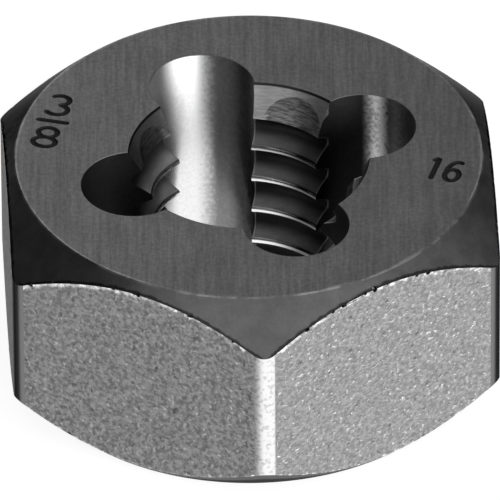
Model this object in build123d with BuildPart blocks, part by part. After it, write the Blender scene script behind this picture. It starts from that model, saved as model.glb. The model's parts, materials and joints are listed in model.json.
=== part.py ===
import os
from math import radians, sqrt, tan

from build123d import *

# Hexagon rethreading die for 3/8 inch bolts with 16 threads per inch. All sizes are in millimetres:
# 25/32 inch across flats and 3/8 inch thick. The origin is the centre of the lower face, and one
# corner of the hexagon points along -Y.

# Blank: a hexagon bar, faced to length and turned conical at both ends
across_flats = 19.84375
thickness = 9.525
corner_radius = 0.85
face_inset = 0.397
end_angle = 45

# Thread: right-hand, with flat crests, and with room at the root for a worn bolt
bolt_diameter = 9.525
pitch = 1.5875
flank_angle = 60
crest_flat = 0.22
root_flat = 0.33
root_clearance = 0.065
start_angle = 140

# Lead: a countersink in each face, a little wider than the bolt, in which the first teeth cut
lead_clearance = 0.18
lead_angle = 60

# Chip flutes: holes through the die that open into the bore and leave the cutting lands.
# Their centres lie a little outside the bolt, by the standoff.
flute_count = 4
flute_diameter = 4.3
flute_standoff = 0.29
flute_angle = 19.2

# Sizes that follow from those above
corner_reach = across_flats / sqrt(3)
face_radius = across_flats / 2 - face_inset
end_depth = (corner_reach - face_radius) * tan(radians(end_angle))

flank_slope = tan(radians(flank_angle / 2))
tooth_depth = (pitch - crest_flat - root_flat) / 2 / flank_slope
root_radius = bolt_diameter / 2 + root_clearance
crest_radius = root_radius - tooth_depth

# The groove's mouth stands a little inside the bore, so that its flanks leave the wall cleanly.
mouth_overlap = crest_flat / 4 / flank_slope
mouth_radius = crest_radius - mouth_overlap
mouth_flat = root_flat + 2 * (tooth_depth + mouth_overlap) * flank_slope

lead_radius = bolt_diameter / 2 + lead_clearance
lead_depth = (lead_radius - mouth_radius) / tan(radians(lead_angle / 2))
flute_circle_radius = bolt_diameter / 2 + flute_standoff

# The bar is threaded while it is still longer than the die, by this much at each end.
facing_allowance = 2 * pitch

# Thread groove: one helical turn after another, from below the lower face to above the upper one
with BuildPart() as groove:
    with BuildLine() as groove_path:
        Helix(pitch, thickness + 2 * pitch, mouth_radius, center=(0, 0, -pitch))
    with BuildSketch(Plane.XZ) as groove_section:
        with BuildLine():
            Polyline(
                (mouth_radius, -pitch - mouth_flat / 2),
                (root_radius, -pitch - root_flat / 2),
                (root_radius, -pitch + root_flat / 2),
                (mouth_radius, -pitch + mouth_flat / 2),
                close=True,
            )
        make_face()
    sweep(path=groove_path.line, is_frenet=True)

with BuildPart() as die:
    # Blank: hexagon bar with rounded corners, bored at the tooth crests and threaded
    with BuildSketch(Plane.XY.offset(-facing_allowance)) as bar_section:
        RegularPolygon(across_flats / 2, 6, major_radius=False, rotation=30)
        fillet(bar_section.vertices(), corner_radius)
        Circle(crest_radius, mode=Mode.SUBTRACT)
    extrude(amount=thickness + 2 * facing_allowance)
    add(groove.part.rotate(Axis.Z, start_angle), mode=Mode.SUBTRACT)

    # Turning: both faces, the cones at their outer edges and the countersunk leads. The outer cones
    # are drawn as two-point curves, so that they meet each flat of the hexagon in a plain spline.
    with BuildSketch(Plane.XZ) as turned_profile:
        with BuildLine():
            Polyline(
                (face_radius, thickness),
                (lead_radius, thickness),
                (mouth_radius, thickness - lead_depth),
                (mouth_radius, lead_depth),
                (lead_radius, 0),
                (face_radius, 0),
            )
            Bezier((face_radius, 0), (corner_reach, end_depth))
            Line((corner_reach, end_depth), (corner_reach, thickness - end_depth))
            Bezier((corner_reach, thickness - end_depth), (face_radius, thickness))
        make_face()
    revolve(axis=Axis.Z, mode=Mode.INTERSECT)

    # Chip flutes, which part the thread into lands
    with PolarLocations(flute_circle_radius, flute_count, start_angle=flute_angle):
        Hole(flute_diameter / 2, depth=thickness)

die.part.label = "hex_die"

os.makedirs("parts", exist_ok=True)
export_step(die.part, "parts/hex_die.step")
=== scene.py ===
"""Looks of a hexagon rethreading die: its machined mesh, its steel finishes and a plain studio."""

import json
import math
import random
from collections import namedtuple
from types import SimpleNamespace
import bmesh
import bpy
from mathutils import Matrix, Vector, noise


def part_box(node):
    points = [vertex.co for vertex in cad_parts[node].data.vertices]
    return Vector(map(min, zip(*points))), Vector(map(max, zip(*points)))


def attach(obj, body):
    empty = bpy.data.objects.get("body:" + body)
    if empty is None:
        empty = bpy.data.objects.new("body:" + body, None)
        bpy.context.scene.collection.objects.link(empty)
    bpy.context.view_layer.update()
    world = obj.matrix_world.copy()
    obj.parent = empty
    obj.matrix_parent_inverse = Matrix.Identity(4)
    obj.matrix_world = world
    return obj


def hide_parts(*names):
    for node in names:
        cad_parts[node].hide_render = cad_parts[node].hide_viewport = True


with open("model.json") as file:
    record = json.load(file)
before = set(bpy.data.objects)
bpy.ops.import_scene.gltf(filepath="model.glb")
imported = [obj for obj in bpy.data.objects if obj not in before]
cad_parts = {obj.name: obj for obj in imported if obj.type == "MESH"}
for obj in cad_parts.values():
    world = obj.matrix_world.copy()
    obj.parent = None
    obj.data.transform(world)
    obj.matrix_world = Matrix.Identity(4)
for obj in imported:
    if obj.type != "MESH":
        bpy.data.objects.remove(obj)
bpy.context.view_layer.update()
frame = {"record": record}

bl_info = {
    "name": "Hexagon Rethreading Die",
    "version": (1, 0, 0),
    "blender": (4, 5, 0),
    "location": "View3D > Sidebar > Die",
    "description": "Machines a threaded hexagon die from its frame and sets it in a plain studio",
    "category": "Add Mesh",
}

NODE = "hex_die"
BODY = "root"

# The frame is in metres. Shapes are machined in millimetres and brought to the frame's unit at the end.
MM = 0.001
NODE_LOW, NODE_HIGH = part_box(NODE)
THREAD_MOUNT = next(mount for mount in frame["record"]["mounts"] if mount["name"] == "thread")

HEX_SIDES = 6
Z_AXIS = Vector((0, 0, 1))
TURN = 2 * math.pi

# Corners closer than this, in millimetres, are one corner.
TOUCHING = 1e-4

# How far most tools reach past the die, in millimetres
OVERRUN = 0.5

# Steps in a full turn of each machined surface, and in the round of one long edge
TURNED_STEPS = 720
BORE_STEPS = 360
THREAD_STEPS = 120
FLUTE_STEPS = 144
CORNER_STEPS = 16

# A stretch of a flute's wall with a painted reflection of light, bright or dark. Its start, end and
# softness are angles in degrees about the flute's own axis, from straight back towards the right.
# Mottling is the share of its grey that clouds take away.
Band = namedtuple("Band", "start end softness mottling grey")

# How far the lamps stand from the die, in metres
LAMP_DISTANCE = 0.6


def length(name, description, default):
    """A length of the die or of the studio, given in millimetres."""
    return bpy.props.FloatProperty(
        name=name, description=description, default=default * MM, unit="LENGTH", precision=5
    )


def angle(name, description, degrees):
    """An angle, kept in radians and shown in degrees."""
    return bpy.props.FloatProperty(
        name=name, description=description, default=math.radians(degrees), subtype="ANGLE"
    )


def tone(name, description, default):
    """A grey of a finish, from 0, black, to 1, white."""
    return bpy.props.FloatProperty(
        name=name, description=description, default=default, min=0, max=1, subtype="FACTOR"
    )


def count(name, description, default):
    """A number of like things."""
    return bpy.props.IntProperty(name=name, description=description, default=default, min=0)


def number(name, description, default):
    """A plain number."""
    return bpy.props.FloatProperty(name=name, description=description, default=default)


class DieBlank(bpy.types.PropertyGroup):
    """The hexagon blank, turned at both ends."""

    across_flats: length("Across Flats", "Width from flat to flat", (NODE_HIGH.x - NODE_LOW.x) / MM)
    thickness: length("Thickness", "Height from face to face", (NODE_HIGH.z - NODE_LOW.z) / MM)
    corner_radius: length("Corner Radius", "Radius of the bar's long edges", 0.85)
    face_inset: length("Face Inset", "How far the turned face's edge lies inside a flat", 0.397)
    end_angle: angle("End Angle", "Slope of the turned ends", 45)
    edge_break: length("Edge Break", "Width of the worn edge between cone and flat", 0.055)
    edge_wander: length("Edge Wander", "How far that edge strays from its line", 0.02)
    nicks: count("Nicks", "Chips knocked out of the rims", 90)
    seed: count("Seed", "Start of the random draws for the nicks", 11)


class DieThread(bpy.types.PropertyGroup):
    """The thread, its leads and the chip flutes."""

    crest_radius: length("Crest Radius", "Radius at the crests", THREAD_MOUNT["dims"]["r_mm"])
    root_radius: length("Root Radius", "Radius at the tooth roots", 4.79)
    pitch: length("Pitch", "Rise of one turn of the thread", 1.5875)
    flank_angle: angle("Flank Angle", "Angle between the two flanks of a tooth", 60)
    crest_flat: length("Crest Flat", "Width of a tooth's crest before its edges are rounded", 0.22)
    crest_round: length("Crest Round", "How far the rounding of a crest's edge reaches", 0.095)
    root_round: length("Root Round", "How far the rounding of a root's corner reaches", 0.16)
    start_angle: angle("Start Angle", "Turn of the groove's start, a pitch under the lower face", 140)
    lead_radius: length("Lead Radius", "Radius of the countersink at the face", 4.9425)
    lead_angle: angle("Lead Angle", "Angle between opposite sides of the countersink", 60)
    flutes: count("Flutes", "Number of chip flutes", 4)
    flute_radius: length("Flute Radius", "Radius of a chip flute", 2.15)
    flute_reach: length("Flute Reach", "Distance of a flute's centre from the die's axis", 5.0525)
    flute_angle: angle("Flute Angle", "Turn of the first flute about the axis", 19.2)
    lip: length("Lip", "Width of the broken edge around a flute's mouth", 0.02)
    relief_width: length("Relief Width", "Half the width of the relief ground behind a lead", 1.93)
    relief_height: length("Relief Height", "Half the height of that relief", 3.0)
    relief_lag: angle("Relief Lag", "How far behind a land's middle its relief is ground", 3)
    relief_depth: length("Relief Depth", "Depth of that relief in the lead", 0.08)


class DieFigures(bpy.types.PropertyGroup):
    """The plain size figures cut in the upper face: 3 over 8 at the left, 16 at the right."""

    left_x: length("Left X", "Middle of the fraction's bar, along X", -7.865)
    left_y: length("Left Y", "Middle of the fraction's bar, along Y", 2.784)
    left_turn: angle("Left Turn", "Turn of the fraction", -17)
    right_x: length("Right X", "Middle of the 16, along X", 7.83)
    right_y: length("Right Y", "Middle of the 16, along Y", -1.456)
    right_turn: angle("Right Turn", "Turn of the 16", -20)
    height: length("Height", "Height of a figure, between the middles of its strokes", 1.28)
    width: length("Width", "Width of the 3 and the 8, between the middles of their strokes", 0.93)
    narrow: length("Narrow Width", "Width of the 6, between the middles of its strokes", 0.57)
    row_gap: length("Row Gap", "From the fraction's bar to the middle of a figure", 1.108)
    bar: length("Bar", "Length of the fraction's bar", 1.42)
    nose: length("Nose", "Radius of the round-nosed cutter", 0.135)
    depth: length("Depth", "Depth of a stroke", 0.08)


class DieFinish(bpy.types.PropertyGroup):
    """Greys of the steel's finishes."""

    ground: tone("Ground Face", "Grey of the ground faces", 0.113)
    turned: tone("Turned Cone", "Grey of the turned cones", 0.09)
    blasted: tone("Blasted Flat", "Grey of the grit-blasted flats", 0.28)
    # The rounded long edges' grey is painted shade.
    corner: tone("Corner", "Grey of the rounded long edges", 0.05)
    # The front long edge's grey is a painted highlight.
    painted_highlight: tone("Rubbed Corner", "Grey of the front long edge, rubbed bright", 0.8)
    flank: tone("Flank", "Grey of a tooth's flank near its crest", 0.16)
    # The crests' grey is a painted highlight.
    crest: tone("Crest", "Grey of the rubbed crests", 0.95)
    lead: tone("Lead", "Grey of the countersunk leads", 0.44)
    relief: tone("Relief", "Grey of the relief ground behind the leads", 0.26)
    # The flutes' grey is painted shade.
    scale: tone("Scale", "Grey of the scale in the flutes", 0.025)
    stamped: tone("Stamped Figure", "Grey at the bottom of the figures", 0.025)


class DieStudio(bpy.types.PropertyGroup):
    """Floor, light and camera."""

    floor_radius: length("Floor Radius", "Radius of the round floor", 1500)
    floor: tone("Floor", "Grey of the floor", 0.9)
    seen_white: tone("Seen White", "Share of plain white in the floor as the camera sees it", 0.8)
    glossy_white: tone("Reflected White", "Share of plain white in the floor as steel shows it", 0.85)
    azimuth: angle("Azimuth", "Turn of the camera about the die, from straight in front", -2.9805)
    elevation: angle("Elevation", "Height of the camera above the horizon", 37.338)
    roll: angle("Roll", "Turn of the camera about its own view", 0.3714)
    distance: length("Distance", "From the camera to the die's middle", 733.52)
    focal_length: number("Focal Length", "Of the lens, in millimetres on a 36 mm frame", 1291.2)
    shift_x: number("Shift X", "Sideways shift of the lens, in frames", 0.00137)
    shift_y: number("Shift Y", "Upright shift of the lens, in frames", -0.0044)


# Machining: meshes in millimetres


def millimetres(group):
    """The group's values by name, with its lengths in millimetres and the rest as they are."""
    values = {}
    for name in group.bl_rna.properties.keys():
        if name in ("rna_type", "name"):
            continue
        value = getattr(group, name)
        values[name] = value / MM if group.bl_rna.properties[name].unit == "LENGTH" else value
    return SimpleNamespace(**values)


def face_radius(blank):
    """Radius of the two faces, where the cones begin."""
    return blank.across_flats / 2 - blank.face_inset


def cone_drop(blank, radius):
    """How far along Z a cone lies from its face at that radius."""
    return (radius - face_radius(blank)) * math.tan(blank.end_angle)


def corner_reach(blank):
    """How far from the die's axis the axis of a long edge's round stands."""
    return (blank.across_flats / 2 - blank.corner_radius) / math.cos(math.pi / HEX_SIDES)


def flute_turn(thread, flute):
    """Turn of a chip flute about the die's axis. A land has the half number between its flutes."""
    return thread.flute_angle + flute * TURN / thread.flutes


def flute_centre(thread, flute):
    """Where a chip flute's axis stands, as X and Y."""
    turn = flute_turn(thread, flute)
    return thread.flute_reach * math.cos(turn), thread.flute_reach * math.sin(turn)


def heading(vector):
    """The vector's direction as seen from above."""
    return Vector((vector.x, vector.y, 0)).normalized()


def add_object(name, data):
    """A new object in the scene, around the data."""
    added = bpy.data.objects.new(name, data)
    bpy.context.scene.collection.objects.link(added)
    return added


def solid(name, mesh, *materials):
    """An object around a finished bmesh, which is freed. Its faces number the materials in order."""
    data = bpy.data.meshes.new(name)
    mesh.to_mesh(data)
    mesh.free()
    for material in materials:
        data.materials.append(material)
    return add_object(name, data)


def machine(piece, tool, operation):
    """Adds, subtracts or keeps what the tool shares with the piece. The tool is used up."""
    step = piece.modifiers.new("machine", "BOOLEAN")
    step.operation = operation
    step.solver = "MANIFOLD"
    step.material_mode = "TRANSFER"
    step.object = tool
    bake(piece)
    bpy.data.objects.remove(tool)


def bake(piece):
    """Applies the piece's modifiers to its mesh."""
    graph = bpy.context.evaluated_depsgraph_get()
    finished = bpy.data.meshes.new_from_object(piece.evaluated_get(graph), depsgraph=graph)
    rough = piece.data
    piece.modifiers.clear()
    piece.data = finished
    bpy.data.meshes.remove(rough)


def spin_profile(points, steps):
    """A solid turned about Z from an open profile of (radius, height) that ends on the axis."""
    mesh = bmesh.new()
    corners = [mesh.verts.new((radius, 0, height)) for radius, height in points]
    edges = [mesh.edges.new(pair) for pair in zip(corners, corners[1:])]
    bmesh.ops.spin(
        mesh, geom=corners + edges, cent=(0, 0, 0), axis=Z_AXIS, angle=TURN, steps=steps, use_merge=True
    )
    bmesh.ops.remove_doubles(mesh, verts=mesh.verts, dist=TOUCHING)
    bmesh.ops.recalc_face_normals(mesh, faces=mesh.faces)
    return mesh


def hexagon_bar(blank):
    """A hexagon bar with rounded long edges and a corner towards -Y, a little longer than the die.

    Its flats number 0, the rest 1.
    """
    mesh = bmesh.new()
    overlength = 2 * OVERRUN
    half_arc = math.pi / HEX_SIDES
    for side in range(HEX_SIDES):
        middle = Matrix.Rotation(side * TURN / HEX_SIDES, 3, "Z") @ Vector((0, -1, 0))
        start = middle.copy()
        start.rotate(Matrix.Rotation(-half_arc, 3, "Z"))
        centre = middle * corner_reach(blank)
        first = mesh.verts.new(centre + start * blank.corner_radius)
        bmesh.ops.spin(
            mesh, geom=[first], cent=centre, axis=Z_AXIS, angle=2 * half_arc, steps=CORNER_STEPS
        )
    section = mesh.faces.new(mesh.verts)
    bmesh.ops.translate(mesh, verts=mesh.verts, vec=(0, 0, -overlength))
    raised = bmesh.ops.extrude_face_region(mesh, geom=[section], use_keep_orig=True)["geom"]
    top = [item for item in raised if isinstance(item, bmesh.types.BMVert)]
    bmesh.ops.translate(mesh, verts=top, vec=(0, 0, blank.thickness + 2 * overlength))
    bmesh.ops.recalc_face_normals(mesh, faces=mesh.faces)
    for face in mesh.faces:
        centre = face.calc_center_median()
        on_flat = abs(centre.xy.dot(face.normal.xy) - blank.across_flats / 2) < TOUCHING
        face.material_index = 0 if on_flat else 1
    return mesh


def turned_ends(blank):
    """What the lathe leaves: both faces, which number 0, and the cones around them, which number 1."""
    corner = blank.across_flats / math.sqrt(3) + OVERRUN
    face = face_radius(blank)
    drop = cone_drop(blank, corner)
    top = blank.thickness
    profile = [(0, 0), (face, 0), (corner, drop), (corner, top - drop), (face, top), (0, top)]
    mesh = spin_profile(profile, TURNED_STEPS)
    for patch in mesh.faces:
        patch.material_index = 0 if abs(patch.normal.z) > 0.99 else 1
    return mesh


def break_edges(piece, blank):
    """Breaks the edges of the turned blank, with a worn and wandering rim between cone and flat.

    Only corners inside the broken edge wander, so that the flats stay flat.
    """
    mesh = bmesh.new()
    mesh.from_mesh(piece.data)
    crease = math.radians(30)
    sharp = [edge for edge in mesh.edges if edge.is_manifold and edge.calc_face_angle(0) > crease]
    broken = bmesh.ops.bevel(
        mesh,
        geom=sharp,
        offset=blank.edge_break,
        segments=3,
        profile=0.5,
        affect="EDGES",
        clamp_overlap=True,
        material=-1,
    )
    fresh = set(broken["faces"])
    past_face = face_radius(blank) + 0.2
    for corner in broken["verts"]:
        if corner.co.xy.length < past_face or not fresh.issuperset(corner.link_faces):
            continue
        waves = noise.noise(corner.co * 2.4)
        ripples = noise.noise(corner.co * 7.0)
        corner.co += heading(corner.co) * (waves + 0.7 * ripples - 0.5) * blank.edge_wander
    mesh.to_mesh(piece.data)
    mesh.free()


def nick_tool(blank):
    """Small lumps along the rims between cone and flat, which leave the rims nicked."""
    draw = random.Random(blank.seed)
    mesh = bmesh.new()
    flat = blank.across_flats / 2
    half_side = flat * math.tan(math.pi / HEX_SIDES) - blank.corner_radius / 2
    upper_share = 0.85
    for _ in range(blank.nicks):
        along = draw.uniform(-half_side, half_side)
        drop = cone_drop(blank, math.hypot(flat, along))
        height = blank.thickness - drop if draw.random() < upper_share else drop
        place = Vector((flat + draw.uniform(0.02, 0.09), along, height))
        place.rotate(Matrix.Rotation(draw.randrange(HEX_SIDES) * TURN / HEX_SIDES, 3, "Z"))
        size = draw.uniform(0.05, 0.14)
        stretch = Matrix.Diagonal((1, draw.uniform(0.7, 2.4), draw.uniform(0.7, 1.3), 1))
        spot = Matrix.Translation(place) @ Matrix.Rotation(draw.uniform(0, TURN), 4, "Z") @ stretch
        bmesh.ops.create_icosphere(mesh, subdivisions=1, radius=size, matrix=spot)
    return mesh


def thread_tool(thread, thickness):
    """The groove of the thread, one helical turn after another, from below the lower face.

    Its section is drawn with the teeth's crests beside it, so that the crests leave it rounded. It
    stops in a flute, short of the land at the back right, where the lead leaves nothing of it.
    """
    slope = math.tan(thread.flank_angle / 2)
    root = thread.root_radius
    crest = thread.crest_radius
    heel = crest - 0.3
    gap_between_turns = 0.01
    root_flat = thread.pitch - thread.crest_flat - 2 * (root - crest) * slope
    mouth = (thread.pitch - thread.crest_flat) / 2
    shoulder = (thread.pitch - gap_between_turns) / 2
    half = [(heel, shoulder), (crest, shoulder), (crest, mouth), (root, root_flat / 2)]
    section = half + [(radius, -height) for radius, height in reversed(half)]
    mesh = bmesh.new()
    corners = [mesh.verts.new((radius, 0, height - thread.pitch)) for radius, height in section]
    mesh.faces.new(corners)
    for rounded, rounding in (
        ([corners[2], corners[5]], thread.crest_round),
        ([corners[3], corners[4]], thread.root_round),
    ):
        bmesh.ops.bevel(
            mesh,
            geom=rounded,
            offset=rounding,
            segments=5,
            profile=0.5,
            affect="VERTICES",
            material=-1,
        )
    bmesh.ops.rotate(mesh, verts=mesh.verts, matrix=Matrix.Rotation(thread.start_angle, 3, "Z"))
    face = thread.start_angle + TURN * (thickness / thread.pitch + 1)
    last = thread.flute_angle + TURN * math.floor((face - thread.flute_angle) / TURN)
    turns = (last - thread.start_angle) / TURN
    steps = round(turns * THREAD_STEPS)
    bmesh.ops.spin(
        mesh,
        geom=list(mesh.faces) + list(mesh.edges) + list(mesh.verts),
        cent=(0, 0, 0),
        axis=Z_AXIS,
        dvec=(0, 0, thread.pitch * turns / steps),
        angle=TURN * turns,
        steps=steps,
    )
    bmesh.ops.recalc_face_normals(mesh, faces=mesh.faces)
    return mesh


def bore_tool(thread, thickness):
    """The bore, a hair wider than the tooth crests and longer than the die."""
    mesh = bmesh.new()
    radius = thread.crest_radius + 0.002
    overlength = 2.0
    bmesh.ops.create_cone(
        mesh,
        cap_ends=True,
        segments=BORE_STEPS,
        radius1=radius,
        radius2=radius,
        depth=thickness + 2 * overlength,
        matrix=Matrix.Translation((0, 0, thickness / 2)),
    )
    return mesh


def relief_tool(thread, thickness):
    """Egg-shaped wheels that grind a shallow relief into the lead of every land, at both ends."""
    mesh = bmesh.new()
    lean = thread.lead_angle / 2
    below_face = 1.35
    bulk = 1.0
    lead_there = thread.lead_radius - below_face * math.tan(lean)
    seat = Matrix.Translation((lead_there, 0, -below_face)) @ Matrix.Rotation(lean, 4, "Y")
    size = Matrix.Diagonal((bulk, thread.relief_width, thread.relief_height, 1))
    wheel = Matrix.Translation((thread.relief_depth - bulk, 0, 0)) @ size
    lower = Matrix.Rotation(math.pi, 4, "X")
    upper = Matrix.Translation((0, 0, thickness))
    for end, way in ((lower, -1), (upper, 1)):
        for land in range(thread.flutes):
            turn = flute_turn(thread, land + 0.5) - thread.relief_lag
            place = end @ Matrix.Rotation(way * turn, 4, "Z") @ seat @ wheel
            bmesh.ops.create_icosphere(mesh, subdivisions=6, radius=1, matrix=place)
    return mesh


def lead_tool(thread, thickness):
    """The two countersinks, as blunt cones that end inside the bore."""
    mesh = bmesh.new()
    slope = math.tan(thread.lead_angle / 2)
    narrow = thread.crest_radius * 0.8
    wide = thread.lead_radius + OVERRUN * slope
    depth = (thread.lead_radius - narrow) / slope
    middle = thickness + (OVERRUN - depth) / 2
    lower = Matrix.Translation((0, 0, thickness - middle)) @ Matrix.Rotation(math.pi, 4, "X")
    upper = Matrix.Translation((0, 0, middle))
    for place in (lower, upper):
        bmesh.ops.create_cone(
            mesh,
            cap_ends=True,
            segments=BORE_STEPS,
            radius1=narrow,
            radius2=wide,
            depth=depth + OVERRUN,
            matrix=place,
        )
    return mesh


def flute_tool(thread, thickness, flute):
    """One chip flute, as a straight drill with a flare that breaks its edge at each face."""
    radius = thread.flute_radius
    wide = radius + thread.lip + OVERRUN
    low, high = -OVERRUN, thickness + OVERRUN
    wall = [(radius, thread.lip), (radius, thickness - thread.lip)]
    mesh = spin_profile([(0, low), (wide, low), *wall, (wide, high), (0, high)], FLUTE_STEPS)
    bmesh.ops.translate(mesh, verts=mesh.verts, vec=(thread.flute_reach, 0, 0))
    turn = Matrix.Rotation(flute_turn(thread, flute), 3, "Z")
    bmesh.ops.rotate(mesh, verts=mesh.verts, matrix=turn)
    return mesh


def curve(middle, width, height, start, end):
    """Points about every 9 degrees along part of an ellipse, between two angles in degrees."""
    steps = max(4, round(abs(end - start) / 9))
    angles = [math.radians(start + (end - start) * step / steps) for step in range(steps + 1)]
    return [(middle[0] + width * math.cos(a), middle[1] + height * math.sin(a)) for a in angles]


def line(start, end):
    """Points about every 0.06 mm along a straight line."""
    steps = max(2, round(math.dist(start, end) / 0.06))
    across, along = end[0] - start[0], end[1] - start[1]
    return [(start[0] + across * k / steps, start[1] + along * k / steps) for k in range(steps + 1)]


def figure_strokes(figures):
    """Every stroke of the figures, as points on the upper face."""
    w, n, h = figures.width / 2, figures.narrow / 2, figures.height / 2
    three = [
        curve((-0.1 * w, 0.52 * h), 0.85 * w, 0.48 * h, 155, -90),
        curve((-0.1 * w, -0.48 * h), w, 0.52 * h, 90, -160),
    ]
    eight = [
        curve((0, 0.5 * h), 0.84 * w, 0.5 * h, 0, 360),
        curve((0, -0.5 * h), w, 0.5 * h, 0, 360),
    ]
    one = [line((0.1, -1.25 * h), (0.1, 1.1 * h)), line((0.1, 1.1 * h), (-0.14, 0.66 * h))]
    six = [
        curve((0, -0.42 * h), n, 0.58 * h, 0, 360),
        curve((0.25 * n, -0.1 * h), 1.24 * n, 1.1 * h, 55, 190),
    ]
    bar = [line((-figures.bar / 2, 0), (figures.bar / 2, 0))]
    left = Matrix.Translation((figures.left_x, figures.left_y, 0))
    left = left @ Matrix.Rotation(figures.left_turn, 4, "Z")
    right = Matrix.Translation((figures.right_x, figures.right_y, 0))
    right = right @ Matrix.Rotation(figures.right_turn, 4, "Z")
    placed = []
    for strokes, place, shift in (
        (three, left, (0, figures.row_gap)),
        (bar, left, (0, 0)),
        (eight, left, (0, -figures.row_gap)),
        (one, right, (-0.41, 0)),
        (six, right, (0.46, -0.02)),
    ):
        for stroke in strokes:
            placed.append([place @ Vector((x + shift[0], y + shift[1], 0)) for x, y in stroke])
    return placed


def stroke_tool(points, figures, thickness):
    """A tube along a stroke. Its ends taper to a blunt nose, unless it closes on itself."""
    closed = (points[0] - points[-1]).length < TOUCHING
    if closed:
        points = points[:-1]
    data = bpy.data.curves.new("stroke", "CURVE")
    data.dimensions = "3D"
    data.bevel_depth = figures.nose
    data.bevel_resolution = 4
    data.use_fill_caps = not closed
    path = data.splines.new("POLY")
    path.points.add(len(points) - 1)
    path.use_cyclic_u = closed
    for point, place in zip(path.points, points):
        point.co = (*place.xy, thickness + figures.nose - figures.depth, 1)
        gap = min((place - points[0]).length, (place - points[-1]).length) / figures.nose
        point.radius = 1 if closed else math.sqrt(1 - 0.8 * max(0, 1 - gap) ** 2)
    tube = add_object("stroke", data)
    graph = bpy.context.evaluated_depsgraph_get()
    mesh = bmesh.new()
    mesh.from_mesh(tube.evaluated_get(graph).to_mesh())
    bpy.data.objects.remove(tube)
    bmesh.ops.remove_doubles(mesh, verts=mesh.verts, dist=TOUCHING)
    bmesh.ops.recalc_face_normals(mesh, faces=mesh.faces)
    return mesh


# Machining: the die


def nearest_way(place, ways, start):
    """The nearest to the place of that many ways out from the axis, set evenly from a start angle."""
    sector = TURN / ways
    turn = round((math.atan2(place.y, place.x) - start) / sector) * sector + start
    return Vector((math.cos(turn), math.sin(turn), 0))


def true_normal(name, normal, place, blank, thread):
    """The exact normal, at that place, of the machined surface that the face belongs to, if any."""
    outward = heading(place)
    end = Z_AXIS if place.z > blank.thickness / 2 else -Z_AXIS
    upright = abs(normal.z) < 0.05
    if name == "turned_steel":
        return outward * math.sin(blank.end_angle) + end * math.cos(blank.end_angle)
    if name == "lead_steel":
        lean = thread.lead_angle / 2
        return end * math.sin(lean) - outward * math.cos(lean)
    if name == "blasted_steel":
        return nearest_way(normal, HEX_SIDES, 0)
    if name == "corner_steel" and upright:
        centre = nearest_way(place, HEX_SIDES, math.pi / HEX_SIDES) * corner_reach(blank)
        return heading(place - centre)
    if name.startswith("flute") and upright:
        centre = nearest_way(place, thread.flutes, thread.flute_angle) * thread.flute_reach
        return heading(centre - place)
    return normal if abs(normal.z) > 0.9999 else None


def grade_edges(piece, blank, thread):
    """Smooth shading that keeps the machined edges crisp and every surface true to its form.

    A corner whose normal stays zero keeps the smooth one.
    """
    mesh = piece.data
    mesh.shade_smooth()
    mesh.set_sharp_from_angle(angle=math.radians(24))
    near_enough = 0.985
    normals = [Vector((0, 0, 0))] * len(mesh.loops)
    names = [material.name for material in mesh.materials]
    for face in mesh.polygons:
        name = names[face.material_index]
        normal = face.normal.copy()
        middle = true_normal(name, normal, face.center / MM, blank, thread)
        if middle is None or middle.dot(normal) < near_enough:
            continue
        for loop in face.loop_indices:
            place = mesh.vertices[mesh.loops[loop].vertex_index].co / MM
            normals[loop] = true_normal(name, normal, place, blank, thread)
    mesh.normals_split_custom_set(normals)


def close_slivers(piece):
    """Closes the slivers that the cuts leave, all under a thousandth of a millimetre wide."""
    mesh = bmesh.new()
    mesh.from_mesh(piece.data)
    narrow = 0.0003
    bmesh.ops.dissolve_degenerate(mesh, edges=mesh.edges, dist=narrow)
    stray = [edge for edge in mesh.edges if edge.is_wire]
    bmesh.ops.delete(mesh, geom=stray, context="EDGES")
    if not all(edge.is_manifold for edge in mesh.edges):
        raise RuntimeError("The die's surface isn't closed")
    mesh.to_mesh(piece.data)
    mesh.free()


def machine_die(blank, thread, figures, finishes):
    """The die as one mesh: the blank is turned, bored, threaded, countersunk, fluted and stamped."""
    top = blank.thickness
    piece = solid("hex_die_steel", hexagon_bar(blank), finishes["blasted"], finishes["corner"])
    turning = solid("turning", turned_ends(blank), finishes["ground"], finishes["turned"])
    machine(piece, turning, "INTERSECT")
    break_edges(piece, blank)
    for tool, mesh, look in (
        ("nicks", nick_tool(blank), "turned"),
        ("bore", bore_tool(thread, top), "cut"),
        ("thread", thread_tool(thread, top), "cut"),
        ("lead", lead_tool(thread, top), "lead"),
        ("relief", relief_tool(thread, top), "relief"),
    ):
        machine(piece, solid(tool, mesh, finishes[look]), "DIFFERENCE")
    for flute in range(thread.flutes):
        wall = finishes["flutes"][flute % len(finishes["flutes"])]
        machine(piece, solid("flute", flute_tool(thread, top, flute), wall), "DIFFERENCE")
    for points in figure_strokes(figures):
        stroke = solid("stroke", stroke_tool(points, figures, top), finishes["stamped"])
        machine(piece, stroke, "DIFFERENCE")
    close_slivers(piece)
    piece.data.transform(Matrix.Scale(MM, 4))
    grade_edges(piece, blank, thread)
    return piece


# Finishes


def math_method(operation, swapped=False):
    """A method that adds a Math node on a value and what it is given, or on these two swapped."""

    def method(value, *given):
        values = (*given, value) if swapped else (value, *given)
        return value.shader.node("ShaderNodeMath", dict(enumerate(values)), operation=operation)

    return method


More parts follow.
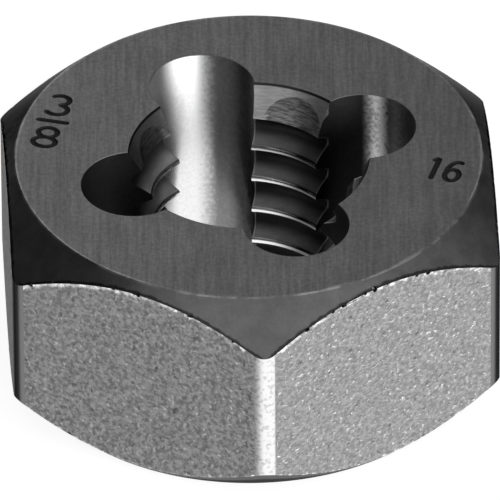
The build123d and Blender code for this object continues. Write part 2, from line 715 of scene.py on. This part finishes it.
class Value:
    """A socket in a shader. An expression on number sockets adds its Math nodes."""

    __add__ = math_method("ADD")
    __sub__ = math_method("SUBTRACT")
    __mul__ = math_method("MULTIPLY")
    __truediv__ = math_method("DIVIDE")
    __pow__ = math_method("POWER")
    __mod__ = math_method("FLOORED_MODULO")
    __radd__ = math_method("ADD", swapped=True)
    __rsub__ = math_method("SUBTRACT", swapped=True)
    __rmul__ = math_method("MULTIPLY", swapped=True)
    __abs__ = math_method("ABSOLUTE")

    # This value, or what it is given where that is more, or less
    at_least = math_method("MAXIMUM")
    at_most = math_method("MINIMUM")

    # The angle of a place that lies this far to the side, and as far ahead as it is given
    angle_past = math_method("ARCTAN2")

    def __init__(self, shader, socket):
        self.shader = shader
        self.socket = socket

    def __neg__(self):
        return self * -1.0

    def covered(self, other, share):
        """This value, with a share of it covered by the other one."""
        return self * (1.0 - share) + other * share


def reach(x, y):
    """How far the place is from the axis."""
    return (x * x + y * y) ** 0.5


def hexagon_reach(x, y):
    """How far from the axis the flat lies that would pass through the place."""
    slant = math.sqrt(3) / 2
    return abs(x).at_least(abs(x * 0.5 + y * slant)).at_least(abs(x * 0.5 - y * slant))


class Shader:
    """The node tree of a material or of the world, built up from nothing."""

    def __init__(self, owner):
        owner.use_nodes = True
        owner.node_tree.nodes.clear()
        self.owner = owner

    def node(self, kind, sockets=None, output=0, **settings):
        """Adds a node, sets its settings, then its sockets to values or links, and gives an output."""
        tree = self.owner.node_tree
        added = tree.nodes.new(kind)
        for name, value in settings.items():
            setattr(added, name, value)
        for key, value in (sockets or {}).items():
            if isinstance(value, Value):
                tree.links.new(value.socket, added.inputs[key])
            else:
                added.inputs[key].default_value = value
        return Value(self, added.outputs[output]) if added.outputs else None

    def place(self, stretch=(1, 1, 1), turn=0.0):
        """The place on the object, turned about Z and stretched, in millimetres."""
        here = self.node("ShaderNodeTexCoord", output="Object")
        scale = tuple(factor / MM for factor in stretch)
        turned = self.node("ShaderNodeMapping", {"Vector": here, "Rotation": (0, 0, turn)})
        return self.node("ShaderNodeMapping", {"Vector": turned, "Scale": scale})

    def axes(self):
        """X, Y and Z on the object, in millimetres."""
        here = self.place()
        return [self.node("ShaderNodeSeparateXYZ", {0: here}, axis) for axis in "XYZ"]

    def grain(self, place, scale, detail, roughness):
        """Cloudy noise from 0 to 1 whose features are 1 / scale millimetres wide."""
        sockets = {"Vector": place, "Scale": scale, "Detail": detail, "Roughness": roughness}
        return self.node("ShaderNodeTexNoise", sockets, noise_dimensions="3D")

    def ease(self, value, low, high, to_low=0.0, to_high=1.0):
        """Runs smoothly from to_low to to_high as the value goes from low to high."""
        sockets = {0: value, 1: low, 2: high, 3: to_low, 4: to_high}
        return self.node("ShaderNodeMapRange", sockets, interpolation_type="SMOOTHSTEP")

    def grey(self, level):
        """A grey colour of that level."""
        sockets = {0: level, 6: (0, 0, 0, 1), 7: (1, 1, 1, 1)}
        return self.node("ShaderNodeMix", sockets, 2, data_type="RGBA")

    def bump(self, height, distance):
        """The normal of a surface that stands that many millimetres higher where the height is 1."""
        return self.node("ShaderNodeBump", {"Height": height, "Distance": distance * MM})

    def steel(self, level, roughness, normal, drawn=0.0, edge=1.0):
        """Makes the material steel of that grey, and gives it.

        Drawn is how far its fine marks, which run level, draw a reflection out upright. Edge is how
        bright it is at a flat glance.
        """
        surface = self.node(
            "ShaderNodeBsdfPrincipled",
            {
                "Base Color": self.grey(level),
                "Metallic": 1.0,
                "Roughness": roughness,
                "Anisotropic": drawn,
                "Anisotropic Rotation": 0.25,
                "Specular Tint": (edge, edge, edge, 1),
                "Normal": normal,
            },
        )
        self.node("ShaderNodeOutputMaterial", {"Surface": surface})
        return self.owner


def finish(name):
    """The shader of a new material."""
    return Shader(bpy.data.materials.new(name))


def ground_steel(level, blank):
    """Ground face: fine parallel lines, nearly along Y, with a thin painted highlight at its rim."""
    shader = finish("ground_steel")
    turn = math.radians(3.0)
    x, y, _ = shader.axes()
    lines = shader.grain(shader.place((7, 0.35, 1), turn), 1.0, 3.0, 0.6)
    fine = shader.grain(shader.place((18, 1.5, 1), turn), 1.0, 2.0, 0.6)
    cloud = shader.grain(shader.place(), 0.6, 3.0, 0.55)
    dust = shader.grain(shader.place(), 6.0, 2.0, 0.6)
    mark = lines * 0.75 + fine * 0.25
    shade = level * (0.8 + 0.4 * shader.ease(mark, 0.3, 0.7))
    shade = shade * (0.88 + 0.24 * shader.ease(dust, 0.3, 0.7))
    # Painted shade: the face is lighter at the left and darker at the right.
    shade = shade * (0.85 + 0.3 * cloud) * (0.96 - 0.015 * x)
    face = face_radius(blank)
    # A thin painted highlight just inside the rim.
    rim = shader.ease(reach(x, y), face - 0.12, face - 0.04)
    shade = shade * (1.0 + 0.7 * rim * shader.ease(cloud, 0.35, 0.6))
    return shader.steel(shade, 0.34 + 0.12 * mark, shader.bump(mark, 0.0035), edge=0.05)


def turned_steel(level, blank):
    """Turned cone: smooth, faint rings, a painted highlight at the face, painted shade at the flats.

    The lower cones are painted darker, as shade, and are lighter towards the flats.
    """
    shader = finish("turned_steel")
    x, y, z = shader.axes()
    radius = reach(x, y)
    cloud = shader.grain(shader.place(), 1.2, 4.0, 0.6)
    dust = shader.grain(shader.place(), 7.0, 2.0, 0.6)
    rings = shader.grain(shader.place((1, 1, 14)), 1.0, 2.0, 0.6)
    # Both sides of the die are painted lighter, as light.
    shade = level * (0.78 + 0.24 * shader.ease(cloud, 0.3, 0.7) + 0.3 * dust) * (0.9 + 0.035 * abs(x))
    flat = blank.across_flats / 2
    face = face_radius(blank)
    wander = (shader.grain(shader.place(), 3.6, 1.0, 0.5) - 0.5) * 0.15
    # A painted highlight just outside the face, and a line of painted shade along the flats.
    rim = shader.ease(radius, face + 0.07, face + 0.04) * shader.ease(cloud, 0.35, 0.6)
    dark = shader.ease(hexagon_reach(x, y) + wander, flat - 0.12, flat - 0.06)
    # The lower cones are painted darker, as shade, and lighter towards the flats.
    lower = shader.ease(z, blank.thickness * 0.3, blank.thickness * 0.25)
    cone_height = cone_drop(blank, flat * radius / hexagon_reach(x, y))
    margin = lower * shader.ease(z / cone_height + wander, 0.35, 0.6)
    shade = shade * (1.0 + 0.9 * rim) * (1.0 - 0.7 * dark) * (1.0 - 0.6 * lower)
    marks = shader.bump(rings * 0.5 + dust * 0.8, 0.003)
    return shader.steel(shade.covered(0.3, margin), 0.3 + 0.08 * cloud, marks, edge=0.2)


def blasted_steel(level, blank):
    """Grit-blasted flats, with a painted highlight in places along their rims at the turned cones.

    Those at the left are painted a little darker, as shade, and their grain shows more.
    """
    shader = finish("blasted_steel")
    place = shader.place()
    x, y, z = shader.axes()
    coarse = shader.grain(place, 5.2, 1.0, 0.5)
    fine = shader.grain(place, 9.5, 1.0, 0.5)
    specks = shader.ease(shader.grain(place, 6.5, 0.0, 0.0), 0.66, 0.8)
    pits = shader.ease(shader.grain(place, 4.3, 0.0, 0.0), 0.26, 0.18)
    grit = coarse * 0.65 + fine * 0.35
    spread = shader.ease(x, -0.4, 0.4, 0.76, 0.48)
    shade = level * (1.0 + spread * (shader.ease(grit, 0.3, 0.7) - 0.5)) * (1.0 + 0.6 * specks)
    # Painted shade: the flats at the left are darker than those at the right.
    shade = shade * (1.0 - 0.35 * pits) * shader.ease(x, -0.4, 0.4, 0.82, 1.06)
    height = grit + specks * 0.2 - pits * 0.3
    drop = cone_drop(blank, reach(x, y))
    wander = (shader.grain(place, 3.6, 3.0, 0.7) - 0.5) * 0.5
    # A painted highlight along the rims, in patches, fullest at the far left.
    upper = shader.ease(blank.thickness - z - drop + wander, 0.2, 0.05)
    lower = shader.ease(z - drop + wander, 0.06, -0.04)
    highlight_gaps = shader.ease(shader.grain(place, 3.4, 2.0, 0.6), 0.38, 0.54)
    highlight_gaps = highlight_gaps * shader.ease(x, -6.0, -3.0, 0.5, 0.9)
    painted_highlight = upper.at_least(lower) * (0.5 + 0.5 * shader.ease(grit, 0.35, 0.6)) * (1.0 - highlight_gaps)
    roughness = 0.5 - 0.1 * painted_highlight
    return shader.steel(shade.covered(1.0, painted_highlight), roughness, shader.bump(height, 0.05), edge=0.3)


def corner_steel(level, bright, blank):
    """Rounded long edges: painted shade, but the front one has a painted highlight on its right."""
    shader = finish("corner_steel")
    x, y, _ = shader.axes()
    grit = shader.grain(shader.place(), 5.5, 2.0, 0.5)
    ragged = x + (grit - 0.5) * 0.12
    flat = blank.across_flats / 2
    half_width = blank.corner_radius * math.sin(math.pi / HEX_SIDES)
    front = shader.ease(-y, flat, flat + 0.5)
    strip = shader.ease(ragged, -half_width, 0.0)
    strip = strip * shader.ease(ragged, half_width + 0.1, half_width - 0.06)
    # The front edge has a painted highlight, brightest on its right.
    painted_highlight = bright * (0.3 + 0.7 * strip) * (0.8 + 0.3 * shader.ease(grit, 0.35, 0.5))
    # The other edges are painted dark as shade, a little lighter towards the flats.
    dark = level + 0.15 * shader.ease(hexagon_reach(x, y), flat - 0.06, flat - 0.005)
    roughness = 0.42 - 0.1 * front
    return shader.steel(dark.covered(painted_highlight, front), roughness, shader.bump(grit, 0.008), edge=0.2)


def thread_height(x, y, z, thread):
    """Height of the place over the middle of the nearest tooth's crest."""
    turns = (y.angle_past(x) - thread.start_angle) / TURN
    return ((z / thread.pitch - turns) % 1.0 - 0.5) * thread.pitch


def groove_radius(x, y, z, thread):
    """Radius of the thread's surface at the place's turn and height."""
    slope = math.tan(thread.flank_angle / 2)
    height = abs(thread_height(x, y, z, thread))
    flank = thread.crest_radius + (height - thread.crest_flat / 2) / slope
    return flank.at_most(thread.root_radius).at_least(thread.crest_radius)


def flute_steel(name, level, thread, thickness, flute, bands, drawn):
    """Flute wall: fine drill rings on painted shade, with bands of painted highlight and shade.

    The broken edge at each face is grey; the teeth's edges at the right get a painted highlight.
    """
    shader = finish(name)
    x, y, z = shader.axes()
    centre_x, centre_y = flute_centre(thread, flute)
    bearing = (x - centre_x).angle_past(y - centre_y)
    scuff = shader.grain(shader.place(), 5.5, 2.0, 0.55)
    rings = shader.grain(shader.place((0.8, 0.8, 14)), 1.0, 3.0, 0.6)
    ragged = bearing + (scuff - 0.5) * 0.32
    # The wall's grey is painted shade; the bands lay painted reflections over it.
    shade = level * (0.9 + 0.2 * shader.ease(scuff, 0.3, 0.7))
    for band in bands:
        start, end, soft = [math.radians(degrees) for degrees in (band.start, band.end, band.softness)]
        inside = shader.ease(bearing, start - soft, start + soft)
        inside = inside * shader.ease(ragged, end + soft, end - soft)
        clear = shader.ease(scuff, 0.34, 0.64)
        shade = shade.covered(band.grey * (1.0 - band.mottling + band.mottling * clear), inside)
    # Painted highlight along the teeth's edges at the right, where they meet the wall.
    tooth = reach(x, y) - groove_radius(x, y, z, thread)
    worn = shader.ease(tooth + (scuff - 0.5) * 0.12, 0.06, 0.02) * shader.ease(x, 0.0, 2.0)
    half = thickness / 2
    lip = shader.ease(abs(z - half), half - 0.03, half - 0.02)
    shade = shade * (1.0 - lip) + (worn * 0.13).at_least(lip * 0.15)
    roughness = shader.ease(z, 3.0, 8.6, 0.19, 0.52) + 0.06 * scuff
    marks = shader.bump(rings * 0.4 + scuff * 0.3, 0.003)
    return shader.steel(shade, roughness, marks, drawn=drawn, edge=0.4)


def thread_steel(level, crest_level, lead_level, thread, thickness):
    """Thread: painted shade in the grooves, greyer up the flanks, a painted highlight on the crests.

    The left lands get painted light. A crest's painted highlight spares its upper edge, is weaker
    near the upper face and dulls towards the right. The teeth's edges get a painted highlight where
    a flute cuts them, and what the leads have left of the first groove has their grey.
    """
    shader = finish("thread_steel")
    x, y, z = shader.axes()
    radius = reach(x, y)
    streaks = shader.grain(shader.place((1.4, 1.4, 7)), 1.0, 4.0, 0.65)
    # Painted shade: the flanks darken towards the roots.
    flank = level * (0.2 + 0.8 * shader.ease(radius, 4.65, 4.1)) * (0.5 + streaks)
    # Painted highlight on the crests, weaker near the upper face and towards the right.
    crest = shader.ease(radius, thread.crest_radius + 0.11, thread.crest_radius + 0.05)
    deep = 0.6 + 0.4 * shader.ease(z, 7.2, 5.4)
    left = 0.15 + 0.85 * shader.ease(x - 2.0 * shader.ease(y, 1.0, 0.0), 2.3, 0.9)
    under = 0.1 + 0.9 * shader.ease(thread_height(x, y, z, thread), 0.13, 0.07)
    shade = flank.covered(crest_level * deep * left * under, crest)
    # Painted highlight along the teeth's edges where a flute cuts them, at the right.
    worn = 0.0
    for flute in range(thread.flutes):
        centre_x, centre_y = flute_centre(thread, flute)
        gap = reach(x - centre_x, y - centre_y) - thread.flute_radius
        worn = shader.ease(gap + (streaks - 0.5) * 0.06, 0.06, 0.02) + worn
    shade = shade + 0.3 * worn * (1.0 - crest) * shader.ease(x, -0.5, 1.5)
    half = thickness / 2
    end = shader.ease(abs(z - half), half - 0.5, half - 0.4)
    shade = shade.covered(lead_level * (0.6 + 0.6 * streaks), end)
    # The lands at the left get painted light.
    shade = shade * shader.ease(x, -1.0, 1.0, 1.6, 1.0)
    roughness = 0.42 + 0.12 * streaks - 0.3 * crest
    return shader.steel(shade, roughness, shader.bump(streaks, 0.004), drawn=0.8, edge=0.6)


def lead_steel(name, level, thickness, streaking):
    """Lead: streaked; clean at the back right land, dark on the others, painted shade at the face."""
    shader = finish(name)
    x, y, z = shader.axes()
    streaks = shader.grain(shader.place((2.2, 2.2, 16)), 1.0, 2.0, 0.6)
    clean = shader.ease(x + y, 3.5, 5.0, 0.22, 1.0)
    half = thickness / 2
    # A line of painted shade at the face.
    mouth = shader.ease(abs(z - half), half - 0.12, half - 0.08)
    shade = level * (1.0 - streaking / 2 + streaking * shader.ease(streaks, 0.38, 0.62)) * clean
    shade = shade * (1.0 - 0.9 * mouth)
    roughness = 0.36 + 0.12 * streaks
    return shader.steel(shade, roughness, shader.bump(streaks, 0.006), drawn=0.6, edge=0.6)


def stamped_steel(level):
    """Bottom of a stamped figure, dark and dull."""
    shader = finish("stamped_steel")
    dust = shader.grain(shader.place(), 8.0, 2.0, 0.6)
    return shader.steel(level * (0.7 + 0.6 * dust), 0.7, shader.bump(dust, 0.006))


def flute_finishes(level, thread, thickness):
    """The flutes' finishes in order round the die: at the right, the back, the left and the front."""
    # Painted reflections, bright and dark, on the walls of the right and back flutes.
    right = [
        Band(start=10, end=26, softness=9, mottling=0.5, grey=1.0),
        Band(start=36, end=180, softness=10, mottling=0.3, grey=0.2),
    ]
    back = [
        Band(start=-180, end=-34, softness=8, mottling=0.1, grey=0.36),
        Band(start=-36, end=8, softness=14, mottling=0.08, grey=1.0),
        Band(start=42, end=75, softness=14, mottling=0.3, grey=0.08),
    ]
    return [
        # Painted light: the back flute's grey is nine times the level and the front one's twice.
        flute_steel("flute_right", level, thread, thickness, 0, right, 0.6),
        flute_steel("flute_back", level * 9, thread, thickness, 1, back, 0.8),
        flute_steel("flute_left", level, thread, thickness, 2, [], 0.0),
        flute_steel("flute_front", level * 2, thread, thickness, 3, [], 0.0),
    ]


class MESH_OT_add_hex_die(bpy.types.Operator):
    """Machine the die and dress it in its steel finishes"""

    bl_idname = "mesh.add_hex_die"
    bl_label = "Hexagon Die"
    bl_options = {"REGISTER", "UNDO"}

    def execute(self, context):
        scene = context.scene
        blank = millimetres(scene.die_blank)
        thread = millimetres(scene.die_thread)
        figures = millimetres(scene.die_figures)
        greys = scene.die_finish
        top = blank.thickness
        finishes = {
            "ground": ground_steel(greys.ground, blank),
            "turned": turned_steel(greys.turned, blank),
            "blasted": blasted_steel(greys.blasted, blank),
            "corner": corner_steel(greys.corner, greys.painted_highlight, blank),
            "cut": thread_steel(greys.flank, greys.crest, greys.lead, thread, top),
            "lead": lead_steel("lead_steel", greys.lead, top, 0.2),
            "relief": lead_steel("relief_steel", greys.relief, top, 0.8),
            "flutes": flute_finishes(greys.scale, thread, top),
            "stamped": stamped_steel(greys.stamped),
        }
        piece = machine_die(blank, thread, figures, finishes)
        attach(piece, BODY)
        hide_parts(NODE)
        return {"FINISHED"}


# Studio


def add_floor(studio):
    """A round floor just under the die, seen white, which keeps a soft part of its shadow."""
    mesh = bmesh.new()
    gap = 0.02 * MM
    under = Matrix.Translation((0, 0, NODE_LOW.z - gap))
    bmesh.ops.create_circle(mesh, cap_ends=True, segments=96, radius=studio.floor_radius, matrix=under)
    shader = finish("studio_floor")
    matt = shader.node("ShaderNodeBsdfDiffuse", {"Color": (studio.floor,) * 3 + (1,)})
    white = shader.node("ShaderNodeEmission", {"Strength": 1.12})
    seen = shader.node("ShaderNodeLightPath", output="Is Camera Ray")
    glossy = shader.node("ShaderNodeLightPath", output="Is Glossy Ray")
    clear = shader.node("ShaderNodeLightPath", output="Is Transmission Ray")
    share = seen * studio.seen_white + (glossy + clear) * studio.glossy_white
    surface = shader.node("ShaderNodeMixShader", {0: share, 1: matt, 2: white})
    shader.node("ShaderNodeOutputMaterial", {"Surface": surface})
    floor = solid("studio_floor", mesh, shader.owner)


def look_from(azimuth, elevation):
    """The way from the die to that place in the studio, and the turn of what faces the die there."""
    level = math.cos(elevation)
    away = Vector((math.sin(azimuth) * level, -math.cos(azimuth) * level, math.sin(elevation)))
    right = Z_AXIS.cross(away).normalized()
    return away, Matrix((right, away.cross(right), away)).transposed()


def add_lamp(name, azimuth, elevation, width, height, radiance):
    """A soft lamp that faces the die, with the same radiance all over."""
    data = bpy.data.lights.new(name, "AREA")
    data.shape = "RECTANGLE"
    data.size = width
    data.size_y = height
    data.energy = radiance * math.pi * width * height
    away, turn = look_from(math.radians(azimuth), math.radians(elevation))
    lamp = add_object(name, data)
    lamp.matrix_world = Matrix.Translation(away * LAMP_DISTANCE) @ turn.to_4x4()


def add_sky():
    """A plain sky, dim at the horizon and lighter overhead."""
    world = bpy.data.worlds.new("studio_sky")
    bpy.context.scene.world = world
    shader = Shader(world)
    direction = shader.node("ShaderNodeTexCoord", output="Generated")
    height = shader.node("ShaderNodeSeparateXYZ", {0: direction}, "Z")
    level = shader.ease(height, 0.0, 0.6, 0.05, 0.1)
    light = shader.node("ShaderNodeBackground", {"Strength": level})
    shader.node("ShaderNodeOutputWorld", {"Surface": light})


def add_camera(studio):
    """The camera at the photograph's angle."""
    data = bpy.data.cameras.new("studio_camera")
    data.sensor_width = 36
    data.lens = studio.focal_length
    data.shift_x = studio.shift_x
    data.shift_y = studio.shift_y
    data.clip_start = 0.01
    data.clip_end = 10
    away, turn = look_from(studio.azimuth, studio.elevation)
    turn = turn @ Matrix.Rotation(-studio.roll, 3, "Z")
    middle = (NODE_LOW + NODE_HIGH) / 2
    camera = add_object("studio_camera", data)
    camera.matrix_world = Matrix.Translation(middle + away * studio.distance) @ turn.to_4x4()
    bpy.context.scene.camera = camera


class SCENE_OT_add_die_studio(bpy.types.Operator):
    """Set a pale floor, soft lamps, a plain sky and the camera around the die"""

    bl_idname = "scene.add_die_studio"
    bl_label = "Studio"
    bl_options = {"REGISTER", "UNDO"}

    def execute(self, context):
        studio = context.scene.die_studio
        add_floor(studio)
        add_sky()
        add_lamp("low_key", azimuth=40, elevation=16, width=0.80, height=0.26, radiance=9.0)
        add_lamp("front_soft", azimuth=20, elevation=58, width=0.60, height=0.25, radiance=1.7)
        add_lamp("left_soft", azimuth=-38, elevation=40, width=0.30, height=0.30, radiance=1.5)
        add_lamp("right_soft", azimuth=108, elevation=40, width=0.30, height=0.30, radiance=1.0)
        add_lamp("back_soft", azimuth=180, elevation=38, width=0.60, height=0.36, radiance=1.4)
        add_camera(studio)
        context.scene.view_settings.view_transform = "Standard"
        return {"FINISHED"}


class VIEW3D_PT_die(bpy.types.Panel):
    """The die's sizes and finishes, and its operators"""

    bl_label = "Rethreading Die"
    bl_space_type = "VIEW_3D"
    bl_region_type = "UI"
    bl_category = "Die"

    def draw(self, context):
        layout = self.layout
        for operator in OPERATORS:
            layout.operator(operator.bl_idname)
        for name in GROUPS:
            box = layout.box()
            group = getattr(context.scene, name)
            for key in group.bl_rna.properties.keys():
                if key not in ("rna_type", "name"):
                    box.prop(group, key)


GROUPS = {
    "die_blank": DieBlank,
    "die_thread": DieThread,
    "die_figures": DieFigures,
    "die_finish": DieFinish,
    "die_studio": DieStudio,
}
OPERATORS = (MESH_OT_add_hex_die, SCENE_OT_add_die_studio)
CLASSES = (*GROUPS.values(), *OPERATORS, VIEW3D_PT_die)


def register():
    for kind in CLASSES:
        bpy.utils.register_class(kind)
    for name, group in GROUPS.items():
        setattr(bpy.types.Scene, name, bpy.props.PointerProperty(type=group))


def unregister():
    for name in GROUPS:
        delattr(bpy.types.Scene, name)
    for kind in reversed(CLASSES):
        bpy.utils.unregister_class(kind)


def main():
    register()
    bpy.ops.mesh.add_hex_die()
    bpy.ops.scene.add_die_studio()


if __name__ == "__main__":
    main()
